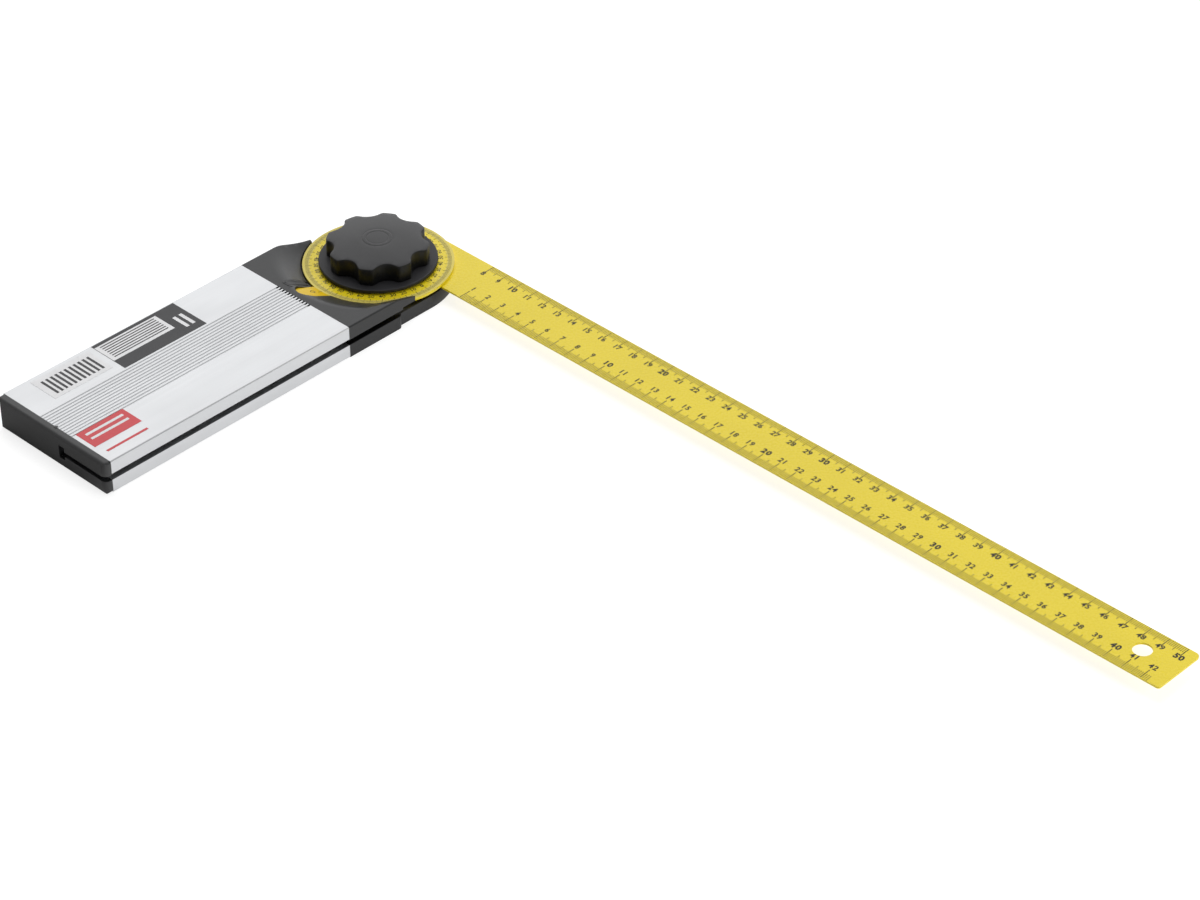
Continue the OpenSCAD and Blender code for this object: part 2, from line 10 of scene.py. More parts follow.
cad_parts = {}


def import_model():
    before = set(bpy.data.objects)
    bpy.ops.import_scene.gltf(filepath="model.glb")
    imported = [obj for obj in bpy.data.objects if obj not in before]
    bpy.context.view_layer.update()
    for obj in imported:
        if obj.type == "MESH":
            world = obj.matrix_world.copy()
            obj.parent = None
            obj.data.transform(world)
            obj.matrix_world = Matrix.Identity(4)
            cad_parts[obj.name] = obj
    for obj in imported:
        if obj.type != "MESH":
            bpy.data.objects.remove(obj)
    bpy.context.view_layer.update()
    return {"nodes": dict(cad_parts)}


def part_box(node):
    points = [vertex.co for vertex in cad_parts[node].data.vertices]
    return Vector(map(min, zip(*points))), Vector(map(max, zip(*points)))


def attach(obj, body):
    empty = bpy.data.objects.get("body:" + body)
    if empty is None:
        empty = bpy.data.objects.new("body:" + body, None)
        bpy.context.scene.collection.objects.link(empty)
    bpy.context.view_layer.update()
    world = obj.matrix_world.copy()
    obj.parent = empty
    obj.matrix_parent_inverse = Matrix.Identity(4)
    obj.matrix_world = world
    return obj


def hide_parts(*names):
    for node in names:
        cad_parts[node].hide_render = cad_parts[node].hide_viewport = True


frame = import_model()
nodes = frame["nodes"]

MM = 0.001

# Camera, in metres and degrees, with its lens and sensor in millimetres
CAMERA_PLACE = (1.16512, -1.04527, 1.05706)
CAMERA_FORWARD = (-0.558955, 0.575370, -0.597092)
CAMERA_ROLL = -0.248
CAMERA_LENS = 115.86
CAMERA_SENSOR = 36.0

# Depth of printed marks in the face below them, and their height over it
INK_SINK = 0.01 * MM
INK_RISE = 0.03 * MM

# Digits: their spacing as a share of a zero, and how finely they are made from the built-in font
DIGIT_PITCH = 1.13
DIGIT_CURVE_STEPS = 3
DIGIT_THICKNESS = 0.05
DIGIT_MERGE = 1e-5

# Kinds of tick, in steps of the scale
TICK_KINDS = (10, 5, 1)

# Scales of the blade: zero in millimetres from the pivot axis, first and last number in
# centimetres, and last tick in millimetres
OUTER_SCALE = (-37.4, 8, 50, 500)
INNER_SCALE = (38.95, 1, 42, 423)
MM_IN_CM = 10
BOLD_EVERY = 10
# Line from which the ticks of the inner scale run
INNER_LINE_Y = 7.5 * MM
TICK_START = 0.15 * MM
TICK_ENDS = {1: 3.9 * MM, 5: 5.5 * MM, 10: 6.8 * MM}
TICK_WIDTHS = {1: 0.24 * MM, 5: 0.28 * MM, 10: 0.4 * MM}
OUTER_NUMBER_Y = 29.6 * MM
INNER_NUMBER_Y = 16.8 * MM
# Height of the plain and the bold numbers, and weight of their strokes as a share of it
NUMBER_HEIGHT = 3.15 * MM
BOLD_HEIGHT = 3.55 * MM
NUMBER_STROKE = 0.026
BOLD_STROKE = 0.046

# Degree scale of the dial, with a paler band under its ticks
FULL_TURN = 360
HALF_TURN = 180
QUARTER_TURN = 90
DIAL_NUMBER_EVERY = 10
DIAL_NUMBER_R = 30.3 * MM
DIAL_NUMBER_HEIGHT = 2.3 * MM
DIAL_BOLD_HEIGHT = 2.5 * MM
DIAL_STROKE = 0.010
DIAL_BOLD_STROKE = 0.034
DIAL_TICK_OUT = 35.8 * MM
DIAL_TICK_IN = {1: 34.0 * MM, 5: 33.2 * MM, 10: 32.4 * MM}
DIAL_TICK_WIDTHS = {1: 0.12 * MM, 5: 0.17 * MM, 10: 0.21 * MM}
DIAL_BAND_IN = 33.6 * MM
DIAL_BAND_OUT = 37.0 * MM
DIAL_BAND_RISE = 0.02 * MM
DIAL_BAND_STEPS = 240

# Marks on the sloping index pointer, measured back from its front edge
POINTER_SLOPE = math.radians(21.8)
POINTER_LINE_START = 0.6 * MM
POINTER_LINE_END = 3.0 * MM
POINTER_LINE_WIDTH = 0.4 * MM
POINTER_RING_R = 1.15 * MM
POINTER_RING_WIDTH = 0.36 * MM
POINTER_RING_PLACE = (-1.0 * MM, -5.9 * MM, 0)
POINTER_RING_STEPS = 48


# Node trees

# Colour sockets of a mix node, which share their names with its other sockets
MIX_FIRST = 6
MIX_SECOND = 7
MIX_RESULT = 2

# Range in which most of a noise lies
NOISE_LOW = 0.3
NOISE_HIGH = 0.7

# Upward part of the normal between which a face counts as a side and as a top, for the painted shade by
# slope
SIDE_FACING = 0.35
TOP_FACING = 0.85

# Samples of the soft edges in the shading
EDGE_SAMPLES = 6


class Tree:
    """Short calls for the nodes of a material or of the world."""

    def __init__(self, tree):
        self.nodes = tree.nodes
        self.links = tree.links

    def node(self, kind, **values):
        made = self.nodes.new(kind)
        for key, value in values.items():
            setattr(made, key, value)
        return made

    def link(self, out, into):
        self.links.new(out, into)

    def between(self, value, low, high, value_low=NOISE_LOW, value_high=NOISE_HIGH):
        """A number from low to high that follows a value over its own range."""
        ramp = self.node("ShaderNodeMapRange")
        self.link(value, ramp.inputs["Value"])
        ramp.inputs["From Min"].default_value = value_low
        ramp.inputs["From Max"].default_value = value_high
        ramp.inputs["To Min"].default_value = low
        ramp.inputs["To Max"].default_value = high
        return ramp.outputs["Result"]

    def product(self, first, second):
        made = self.node("ShaderNodeMath", operation="MULTIPLY")
        self.link(first, made.inputs[0])
        self.link(second, made.inputs[1])
        return made.outputs[0]

    def weighted_sum(self, parts):
        """The sum of outputs, each times its own weight."""
        total = None
        for output, weight in parts:
            step = self.node("ShaderNodeMath", operation="MULTIPLY_ADD")
            self.link(output, step.inputs[0])
            step.inputs[1].default_value = weight
            step.inputs[2].default_value = 0.0
            if total is not None:
                self.link(total, step.inputs[2])
            total = step.outputs[0]
        return total

    def reach(self, vector, direction):
        """How far a vector reaches in a direction."""
        made = self.node("ShaderNodeVectorMath", operation="DOT_PRODUCT")
        self.link(vector, made.inputs[0])
        made.inputs[1].default_value = direction
        return made.outputs["Value"]


class Finish(Tree):
    """A principled material and the nodes that drive it."""

    def __init__(self, name, color, roughness, metallic=0.0, gloss=0.5):
        self.material = bpy.data.materials.new(name)
        self.material.use_nodes = True
        super().__init__(self.material.node_tree)
        self.shader = self.nodes["Principled BSDF"]
        self.roughness = roughness
        self.set("Base Color", (*color, 1))
        self.set("Roughness", roughness)
        self.set("Metallic", metallic)
        self.set("Specular IOR Level", gloss)

    def set(self, socket, value):
        self.shader.inputs[socket].default_value = value

    def place(self, scale):
        """Object coordinates in metres, stretched by a scale for each axis."""
        coords = self.node("ShaderNodeTexCoord")
        mapping = self.node("ShaderNodeMapping")
        mapping.inputs["Scale"].default_value = scale
        self.link(coords.outputs["Object"], mapping.inputs["Vector"])
        return mapping.outputs["Vector"]

    def noise(self, scale, detail=3.0, roughness=0.55):
        """Noise with a size given per axis in features a metre."""
        texture = self.node("ShaderNodeTexNoise")
        self.link(self.place(scale), texture.inputs["Vector"])
        texture.inputs["Scale"].default_value = 1.0
        texture.inputs["Detail"].default_value = detail
        texture.inputs["Roughness"].default_value = roughness
        return texture.outputs["Fac"]

    def dim(self, share):
        """The base colour so far times a share."""
        mix = self.node("ShaderNodeMix", data_type="RGBA", blend_type="MULTIPLY")
        mix.inputs["Factor"].default_value = 1.0
        color = self.shader.inputs["Base Color"]
        if color.is_linked:
            self.link(color.links[0].from_socket, mix.inputs[MIX_FIRST])
        else:
            mix.inputs[MIX_FIRST].default_value = color.default_value
        self.link(share, mix.inputs[MIX_SECOND])
        self.link(mix.outputs[MIX_RESULT], color)

    def tint(self, texture, low, high):
        """The base colour times a factor that follows a texture."""
        self.dim(self.between(texture, low, high))

    def tint_by_slope(self, side, top):
        """Painted shade: shares of the colour that upright faces and faces turned up keep, darker where
        less light falls.
        """
        coords = self.node("ShaderNodeTexCoord")
        split = self.node("ShaderNodeSeparateXYZ")
        self.link(coords.outputs["Normal"], split.inputs["Vector"])
        self.dim(self.between(split.outputs["Z"], side, top, SIDE_FACING, TOP_FACING))

    def vary_roughness(self, texture, less, more):
        """Roughness that follows a texture, from less to more than the plain one."""
        value = self.between(texture, self.roughness - less, self.roughness + more)
        self.link(value, self.shader.inputs["Roughness"])

    def bump(self, texture, strength, distance):
        bump = self.node("ShaderNodeBump")
        bump.inputs["Strength"].default_value = strength
        bump.inputs["Distance"].default_value = distance
        self.link(texture, bump.inputs["Height"])
        self.link(bump.outputs["Normal"], self.shader.inputs["Normal"])

    def round_edges(self, radius):
        """Soft edges: the shading under the bumps runs round them over a radius."""
        soft = self.node("ShaderNodeBevel", samples=EDGE_SAMPLES)
        soft.inputs["Radius"].default_value = radius
        bump = self.shader.inputs["Normal"].links[0].from_node
        self.link(soft.outputs["Normal"], bump.inputs["Normal"])


# Finishes

# Fine rings of turned metal: the scale of the wave and how far it wavers
TURNING_SCALE = 900
TURNING_WAVER = 1.5


def alloy():
    """Satin extrusion with fine draw lines along the stock."""
    finish = Finish("alloy", (0.76, 0.77, 0.785), roughness=0.40, metallic=1.0)
    lines = finish.noise(scale=(2600, 9, 2600), detail=4, roughness=0.6)
    cloud = finish.noise(scale=(45, 20, 45), detail=2)
    finish.tint(cloud, low=0.96, high=1.03)
    finish.vary_roughness(lines, less=0.06, more=0.06)
    finish.bump(lines, strength=0.18, distance=0.03 * MM)
    finish.round_edges(0.25 * MM)
    return finish


def moulded(name, color, roughness, grain, depth, gloss, edge, side, top=1.0):
    """Spark-eroded plastic: fine grain, faint flow marks, soft edges, and painted shade that keeps a
    share side of the colour on upright faces and a share top on faces turned up.
    """
    finish = Finish(name, color, roughness, gloss=gloss)
    flow = finish.noise(scale=(60, 60, 60), detail=3)
    fine = finish.noise(scale=(grain, grain, grain), detail=2, roughness=0.7)
    finish.tint(flow, low=0.9, high=1.1)
    # Painted shade: faces dimmed by how they face the light
    finish.tint_by_slope(side, top)
    finish.vary_roughness(fine, less=0.06, more=0.08)
    finish.bump(fine, strength=0.5, distance=depth)
    finish.round_edges(edge)
    return finish


def lacquer():
    """Yellow lacquer over sheet metal."""
    finish = Finish("yellow_lacquer", (0.75, 0.595, 0.014), roughness=0.28)
    peel = finish.noise(scale=(700, 700, 700), detail=2)
    cloud = finish.noise(scale=(18, 60, 60), detail=2)
    finish.tint(cloud, low=0.97, high=1.02)
    finish.vary_roughness(peel, less=0.04, more=0.03)
    finish.bump(peel, strength=0.06, distance=0.02 * MM)
    return finish


def pointer_plastic():
    """Smooth orange-yellow moulding with faint flow marks."""
    finish = Finish("pointer_plastic", (0.66, 0.44, 0.003), roughness=0.35, gloss=0.22)
    flow = finish.noise(scale=(90, 90, 90))
    fine = finish.noise(scale=(1500, 1500, 1500))
    finish.tint(flow, low=0.96, high=1.04)
    finish.vary_roughness(fine, less=0.05, more=0.05)
    finish.bump(fine, strength=0.15, distance=0.02 * MM)
    return finish


def turned(name, color, roughness):
    """Plated or turned metal with fine rings about the pivot axis."""
    finish = Finish(name, color, roughness, metallic=1.0)
    rings = finish.node("ShaderNodeTexWave", wave_type="RINGS", rings_direction="Z")
    finish.link(finish.place((1, 1, 1)), rings.inputs["Vector"])
    rings.inputs["Scale"].default_value = TURNING_SCALE
    rings.inputs["Distortion"].default_value = TURNING_WAVER
    cloud = finish.noise(scale=(300, 300, 300))
    finish.tint(cloud, low=0.9, high=1.06)
    finish.vary_roughness(cloud, less=0.06, more=0.1)
    finish.bump(rings.outputs["Fac"], strength=0.15, distance=0.02 * MM)
    return finish


def pressed(name, color, roughness, metallic):
    """Pressed or punched sheet: faint mottling."""
    finish = Finish(name, color, roughness, metallic)
    cloud = finish.noise(scale=(420, 420, 420))
    finish.tint(cloud, low=0.92, high=1.05)
    finish.vary_roughness(cloud, less=0.06, more=0.08)
    finish.bump(cloud, strength=0.15, distance=0.03 * MM)
    return finish


def ink(name, color, roughness, gloss=0.5):
    """Screen-printed ink, slightly uneven in density; black and without gloss, it is also the painted
    shade at the ends of the grip grooves.
    """
    finish = Finish(name, color, roughness, gloss=gloss)
    spots = finish.noise(scale=(2500, 2500, 2500), detail=2)
    finish.tint(spots, low=0.8, high=1.25)
    finish.vary_roughness(spots, less=0.05, more=0.1)
    finish.bump(spots, strength=0.1, distance=0.01 * MM)
    return finish.material


def film(name, color, roughness):
    """Printed label film."""
    finish = Finish(name, color, roughness, gloss=0.35)
    cloud = finish.noise(scale=(130, 130, 130))
    finish.tint(cloud, low=0.95, high=1.04)
    finish.vary_roughness(cloud, less=0.05, more=0.08)
    finish.bump(cloud, strength=0.08, distance=0.03 * MM)
    return finish.material


# The side and top shares of the moulded finishes are painted shade: upright faces are dimmed, and the
# slot plastic's faces turned up are dimmed nearly to black.
FINISHES = {
    "stock_profile": alloy(),
    "end_cap": moulded("black_plastic", (0.014, 0.0145, 0.0155), roughness=0.42, grain=4200,
                       depth=0.03 * MM, gloss=0.85, edge=0.5 * MM, side=0.5),
    "head_upper": moulded("charcoal_plastic", (0.018, 0.0185, 0.020), roughness=0.38, grain=3600,
                          depth=0.04 * MM, gloss=0.6, edge=0.5 * MM, side=0.5),
    # Painted shade: faces turned up nearly black, so that the inside of the slot reads as shadow
    "head_lower": moulded("slot_plastic", (0.020, 0.0205, 0.022), roughness=0.46, grain=3600,
                          depth=0.04 * MM, gloss=0.5, edge=0.3 * MM, side=0.5, top=0.05),
    "index_pointer": pointer_plastic(),
    "cheek_screws": turned("zinc_steel", (0.56, 0.57, 0.58), roughness=0.28),
    "blade": lacquer(),
    "dial_rivets": pressed("rivet_alloy", (0.72, 0.72, 0.73), roughness=0.3, metallic=1.0),
    "pivot_bush": turned("brass", (0.72, 0.55, 0.24), roughness=0.28),
    "lower_friction_washer": pressed("washer_plastic", (0.72, 0.71, 0.66), roughness=0.5, metallic=0.0),
    # Painted shade: upright faces of the knob nearly black, as if in the shade of the flange and dial
    "knob": moulded("knob_plastic", (0.042, 0.042, 0.044), roughness=0.44, grain=3800,
                    depth=0.035 * MM, gloss=0.4, edge=1.1 * MM, side=0.05),
    "clamp_flange": moulded("flange_plastic", (0.026, 0.026, 0.028), roughness=0.55, grain=4000,
                            depth=0.03 * MM, gloss=0.4, edge=0.4 * MM, side=0.5),
}
# Nodes that share the finish of another
SAME_FINISH = {
    "stock_screws": "cheek_screws",
    "dial": "blade",
    "pivot_bolt": "cheek_screws",
    "upper_friction_washer": "lower_friction_washer",
    "spring_washer": "cheek_screws",
    "thrust_washer": "cheek_screws",
    "knob_insert": "pivot_bush",
    "knob_disc": "knob",
}


def finish_nodes():
    for name, node in nodes.items():
        finish = FINISHES[SAME_FINISH.get(name, name)]
        node.data.materials.clear()
        node.data.materials.append(finish.material)


# Rounded edges of the CAD nodes, in millimetres
EDGE_WIDTHS = {
    "head_lower": 0.5,
    "head_upper": 0.3,
    "end_cap": 0.15,
    "stock_profile": 0.06,
    "index_pointer": 0.15,
    "blade": 0.08,
    "dial": 0.15,
    "knob": 0.12,
    "knob_disc": 0.15,
    "clamp_flange": 0.1,
    "pivot_bolt": 0.2,
}
EDGE_SEGMENTS = 2
EDGE_ANGLE = math.radians(35)
WELD_DISTANCE = 0.002 * MM


def soften_edges():
    for name, width in EDGE_WIDTHS.items():
        node = nodes[name]
        weld = node.modifiers.new("weld", "WELD")
        weld.merge_threshold = WELD_DISTANCE
        bevel = node.modifiers.new("edges", "BEVEL")
        bevel.width = width * MM
        bevel.segments = EDGE_SEGMENTS
        bevel.limit_method = "ANGLE"
        bevel.angle_limit = EDGE_ANGLE
        bevel.harden_normals = True
        bevel.use_clamp_overlap = True


# Pieces as closed geometry

class Shape:
    """Collects points and faces, and makes one piece of them."""

    def __init__(self, place=None):
        self.place = Matrix.Identity(4) if place is None else place
        self.points = []
        self.faces = []

    def add(self, points, faces):
        start = len(self.points)
        self.points += [self.place @ Vector(point) for point in points]
        self.faces += [[start + i for i in face] for face in faces]

    def piece(self, name, material, body):
        mesh = bpy.data.meshes.new(name)
        mesh.from_pydata(self.points, [], self.faces)
        solid = bmesh.new()
        solid.from_mesh(mesh)
        bmesh.ops.recalc_face_normals(solid, faces=solid.faces)
        solid.to_mesh(mesh)
        solid.free()
        made = bpy.data.objects.new(name, mesh)
        bpy.context.scene.collection.objects.link(made)
        made.data.materials.append(material)
        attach(made, body)
        return made


class Print(Shape):
    """Flat marks between two levels over a plane."""

    def __init__(self, low, high, place=None):
        super().__init__(place)
        self.low = low
        self.high = high

    def slab(self, outline):
        """A closed prism over a counter-clockwise outline."""
        count = len(outline)
        points = [(x, y, z) for z in (self.low, self.high) for x, y in outline]
        under = list(range(count))[::-1]
        over = list(range(count, 2 * count))
        sides = [[i, (i + 1) % count, count + (i + 1) % count, count + i] for i in range(count)]
        self.add(points, [under, over, *sides])

    def bar(self, start, end, width):
        start = Vector(start)
        end = Vector(end)
        side = (end - start).normalized().orthogonal() * width / 2
        self.slab([start + side, end + side, end - side, start - side])

    def ring(self, radius, width, count):
        """A flat ring in a number of steps."""
        inner = radius - width / 2
        outer = radius + width / 2
        section = ((inner, self.low), (outer, self.low), (outer, self.high), (inner, self.high))
        corners = len(section)
        points = []
        faces = []
        for step in range(count):
            turn = 2 * math.pi * step / count
            points += [(r * math.cos(turn), r * math.sin(turn), z) for r, z in section]
            here = corners * step
            there = corners * ((step + 1) % count)
            for k in range(corners):
                after = (k + 1) % corners
                faces.append([here + k, here + after, there + after, there + k])
        self.add(points, faces)

    def write(self, text, height, centre, stroke, turn=0.0):
        """Digits of a given height and weight of stroke, centred on a point."""
        zero_width = digit_mesh("0", stroke)[2]
        pitch = DIGIT_PITCH * height * zero_width
        spin = Matrix.Rotation(turn, 2)
        for i, char in enumerate(text):
            shift = (i - (len(text) - 1) / 2) * pitch
            points, faces, _ = digit_mesh(char, stroke)
            placed = []
            for x, y, z in points:
                flat = spin @ Vector((x * height + shift, y * height)) + Vector(centre)
                placed.append((*flat, self.low if z < 0 else self.high))
            self.add(placed, faces)


def font_mesh(char, stroke):
    """One character of the built-in font as a thin solid."""
    curve = bpy.data.curves.new("digit", "FONT")
    curve.body = char
    curve.resolution_u = DIGIT_CURVE_STEPS
    curve.extrude = DIGIT_THICKNESS
    curve.offset = stroke
    carrier = bpy.data.objects.new("digit", curve)
    bpy.context.scene.collection.objects.link(carrier)
    shown = carrier.evaluated_get(bpy.context.evaluated_depsgraph_get())
    mesh = bpy.data.meshes.new_from_object(shown)
    bpy.data.objects.remove(carrier)
    bpy.data.curves.remove(curve)
    return mesh


@cache
def digit_mesh(char, stroke):
    """Points, faces and width of one digit, 1 high and centred."""
    mesh = font_mesh(char, stroke)
    solid = bmesh.new()
    solid.from_mesh(mesh)
    bmesh.ops.remove_doubles(solid, verts=solid.verts, dist=DIGIT_MERGE)
    xs = [vertex.co.x for vertex in solid.verts]
    ys = [vertex.co.y for vertex in solid.verts]
    high = max(ys) - min(ys)
    mid_x = (max(xs) + min(xs)) / 2
    mid_y = (max(ys) + min(ys)) / 2
    points = [((v.co.x - mid_x) / high, (v.co.y - mid_y) / high, v.co.z) for v in solid.verts]
    faces = [[vertex.index for vertex in face.verts] for face in solid.faces]
    solid.free()
    bpy.data.meshes.remove(mesh)
    return points, faces, (max(xs) - min(xs)) / high


def tick_kind(step):
    """The longest kind of tick that falls on a step."""
    return next(kind for kind in TICK_KINDS if step % kind == 0)


def blade_scale(marks, numbers, edge_y, inward, number_y):
    """One centimetre scale with millimetre ticks along an edge of the blade."""
    zero, first, last, end = numbers
    for step in range(first * MM_IN_CM, end + 1):
        kind = tick_kind(step)
        x = (zero + step) * MM
        start = (x, edge_y + inward * TICK_START)
        marks.bar(start, (x, edge_y + inward * TICK_ENDS[kind]), TICK_WIDTHS[kind])
    for number in range(first, last + 1):
        bold = number % BOLD_EVERY == 0
        height = BOLD_HEIGHT if bold else NUMBER_HEIGHT
        stroke = BOLD_STROKE if bold else NUMBER_STROKE
        marks.write(str(number), height, ((zero + MM_IN_CM * number) * MM, number_y), stroke)


def blade_print(material):
    """Both centimetre scales of the blade."""
    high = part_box("blade")[1]
    marks = Print(high[2] - INK_SINK, high[2] + INK_RISE)
    blade_scale(marks, OUTER_SCALE, high[1], -1, OUTER_NUMBER_Y)
    blade_scale(marks, INNER_SCALE, INNER_LINE_Y, 1, INNER_NUMBER_Y)
    marks.piece("blade_print", material, "blade_arm")


def heading(degree):
    """Unit vector at an angle from the length of the blade."""
    turn = math.radians(degree)
    return Vector((math.cos(turn), math.sin(turn)))


def dial_band(top):
    """The paler band that carries the ticks."""
    band = Print(top - INK_SINK, top + DIAL_BAND_RISE)
    band.ring((DIAL_BAND_IN + DIAL_BAND_OUT) / 2, DIAL_BAND_OUT - DIAL_BAND_IN, DIAL_BAND_STEPS)
    band.piece("dial_band", film("dial_band", (0.66, 0.555, 0.115), roughness=0.4), "blade_arm")


def dial_ticks(top, material):
    """A tick for each degree, on the band."""
    marks = Print(top + DIAL_BAND_RISE - INK_SINK, top + DIAL_BAND_RISE + INK_RISE)
    for degree in range(FULL_TURN):
        kind = tick_kind(degree)
        way = heading(degree)
        marks.bar(way * DIAL_TICK_IN[kind], way * DIAL_TICK_OUT, DIAL_TICK_WIDTHS[kind])
    marks.piece("dial_ticks", material, "blade_arm")


def dial_numbers(top, material):
    """Numbers from 0 to 90 and back in each half of the dial, the digits' tops to the pivot."""
    digits = Print(top - INK_SINK, top + INK_RISE)
    for degree in range(0, FULL_TURN, DIAL_NUMBER_EVERY):
        number = QUARTER_TURN - abs(QUARTER_TURN - degree % HALF_TURN)
        bold = number in (0, QUARTER_TURN)
        height = DIAL_BOLD_HEIGHT if bold else DIAL_NUMBER_HEIGHT
        stroke = DIAL_BOLD_STROKE if bold else DIAL_STROKE
        centre = heading(-degree) * DIAL_NUMBER_R
        digits.write(str(number), height, centre, stroke, math.radians(QUARTER_TURN - degree))
    digits.piece("dial_numbers", material, "blade_arm")


def dial_print(material):
    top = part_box("dial")[1][2]
    dial_band(top)
    dial_ticks(top, material)
    dial_numbers(top, material)


def pointer_print(material):
    """Index line and ring mark on the sloping tongue."""
    low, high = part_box("index_pointer")
    drop = (high[1] - low[1]) * math.tan(POINTER_SLOPE)
    front = Matrix.Translation((0, high[1], high[2] - drop))
    place = front @ Matrix.Rotation(-POINTER_SLOPE, 4, "X")
    line = Print(-INK_SINK, INK_RISE, place)
    line.bar((0, -POINTER_LINE_START), (0, -POINTER_LINE_END), POINTER_LINE_WIDTH)
    line.piece("pointer_line", material, "stock")
    mark = Print(-INK_SINK, INK_RISE, place @ Matrix.Translation(POINTER_RING_PLACE))
    mark.ring(POINTER_RING_R, POINTER_RING_WIDTH, POINTER_RING_STEPS)
    mark.piece("pointer_ring", material, "stock")


# Grip grooves of the stock as the solid has them, in millimetres
GROOVE_COUNT = 12
GROOVE_PITCH = 2.0
GROOVE_WIDTH = 1.1
GROOVE_DEPTH = 0.9
GROOVE_MIDDLE = 0.8
# Depth that they show, and length of the painted shade in the dark hollow at the end of each
GROOVE_SHOWN = 0.3
GROOVE_END = 1.2


def groove_edges():
    """Both edges of each grip groove along the stock."""
    for i in range(GROOVE_COUNT):
        middle = GROOVE_MIDDLE + (i - (GROOVE_COUNT - 1) / 2) * GROOVE_PITCH
        yield (middle - GROOVE_WIDTH / 2) * MM, (middle + GROOVE_WIDTH / 2) * MM


def groove_ends():
    """Painted shade: black matt teeth that stand for the dark hollows where the grip grooves run out
    against the head.
    """
    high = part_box("stock_profile")[1]
    upright = Matrix.Translation((0, high[1], high[2])) @ Matrix.Rotation(math.pi / 2, 4, "X")
    teeth = Print(0, GROOVE_END * MM, upright)
    for left, right in groove_edges():
        teeth.slab([(left, -INK_SINK), ((left + right) / 2, -GROOVE_DEPTH * MM), (right, -INK_SINK)])
    # Matt black without gloss, painting the shade in the hollows
    shade = ink("groove_shade", (0.004, 0.004, 0.004), roughness=0.9, gloss=0.0)
    teeth.piece("groove_ends", shade, "stock")


def groove_beds(material):
    """Flat beds that make the grip grooves as shallow as they look."""
    low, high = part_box("stock_profile")
    beds = Print(high[2] - GROOVE_DEPTH * MM, high[2] - GROOVE_SHOWN * MM)
    start = low[1] + INK_SINK
    end = high[1] - GROOVE_END * MM
    for left, right in groove_edges():
        beds.slab([(left, start), (right, start), (right, end), (left, end)])
    beds.piece("groove_beds", material, "stock")


# Soft fold where the channel beside the pointer leaves the far dish, in millimetres. The dish
# and the channel rise from the recess of the dial, each with its own slope.
FOLD_X = (-11.66, -7.6)
FOLD_Y = (-38.0, -52.03)
FOLD_STEPS = (16, 60)
FOLD_SINK = 0.05
RECESS_R = 37.8
DISH_Z = 9.5
DISH_SLOPE = math.radians(34.0)
DISH_TOP_R = 52.7
CHANNEL_Z = 10.0
CHANNEL_SLOPE = math.radians(29.0)


def dish_height(x, y, top):
    """Height of the far dish: a cone that runs into the flat top over an arc."""
    cone_rise = (DISH_TOP_R - RECESS_R) * math.tan(DISH_SLOPE)
    arc = (top - DISH_Z - cone_rise) / (
        1 - math.cos(DISH_SLOPE) - math.sin(DISH_SLOPE) * math.tan(DISH_SLOPE))
    r = math.hypot(x, y)
    if r > DISH_TOP_R:
        return top
    if r > DISH_TOP_R - arc * math.sin(DISH_SLOPE):
        return top - arc + math.sqrt(arc ** 2 - (DISH_TOP_R - r) ** 2)
    return DISH_Z + (r - RECESS_R) * math.tan(DISH_SLOPE)


def channel_height(y, top):
    """Height of the channel's floor, which rises until it meets the flat top."""
    return min(top, CHANNEL_Z + (-y - RECESS_R) * math.tan(CHANNEL_SLOPE))


def part_way(span, share):
    """The place at a share of the way along a span."""
    return span[0] + (span[1] - span[0]) * share


def fold_points(top):
    """A grid of points on the slope of the fold, then the same grid under the channel's floor."""
    columns, rows = FOLD_STEPS
    over = []
    under = []
    for row in range(rows + 1):
        y = part_way(FOLD_Y, row / rows)
        floor_z = channel_height(y, top)
        wall = max(0, dish_height(FOLD_X[0], y, top) - floor_z)
        for column in range(columns + 1):
            across = column / columns
            x = part_way(FOLD_X, across)
            over.append((x * MM, y * MM, (floor_z + wall * (1 - across) ** 2) * MM))
            under.append((x * MM, y * MM, (floor_z - FOLD_SINK) * MM))
    return over + under


def grid_faces(columns, rows):
    """Faces of a closed solid between a grid of points and the same grid below it."""
    wide = columns + 1
    count = wide * (rows + 1)
    faces = []
    for row in range(rows):
        for column in range(columns):
            a = row * wide + column
            faces.append([a, a + 1, a + wide + 1, a + wide])
            faces.append([count + k for k in (a, a + wide, a + wide + 1, a + 1)])
    first_row = list(range(wide))
    last_row = [rows * wide + column for column in range(columns - 1, -1, -1)]
    last_column = [row * wide + columns for row in range(1, rows + 1)]
    first_column = [row * wide for row in range(rows - 1, 0, -1)]
    rim = first_row + last_column + last_row + first_column
    for here, there in zip(rim, rim[1:] + rim[:1]):
        faces.append([here, there, count + there, count + here])
    return faces


def channel_fold(material):
    """A soft slope over the side wall of the channel."""
    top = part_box("head_upper")[1][2] / MM
    fold = Shape()
    fold.add(fold_points(top), grid_faces(*FOLD_STEPS))
    made = fold.piece("channel_fold", material, "stock")
    made.data.shade_smooth()


# Centre of the knob: a flush disc with a soft shallow ring about it, in millimetres
DOME_R = 133.5
DISC_RADIUS = 7.4
DISC_RING_R = 5.6
DISC_RING_WIDTH = 0.9
DISC_RING_DEPTH = 0.06
DISC_LIFT = 0.03
DISC_RIM = 0.4
DISC_RISE = 0.2
DISC_DEPTH = 1.0
DISC_STEPS = (48, 96)


def disc_height(r, top):
    """Height of the knob's dome with the soft ring in it."""
    dome = top + math.sqrt(DOME_R ** 2 - r ** 2) - DOME_R
    away = abs(r - DISC_RING_R) / DISC_RING_WIDTH
    ring = DISC_RING_DEPTH * math.cos(math.pi * away / 2) ** 2 if away < 1 else 0
    rim = max(0.0, (r - DISC_RADIUS + DISC_RIM) / DISC_RIM)
    return dome + DISC_LIFT * (1 - rim) - ring


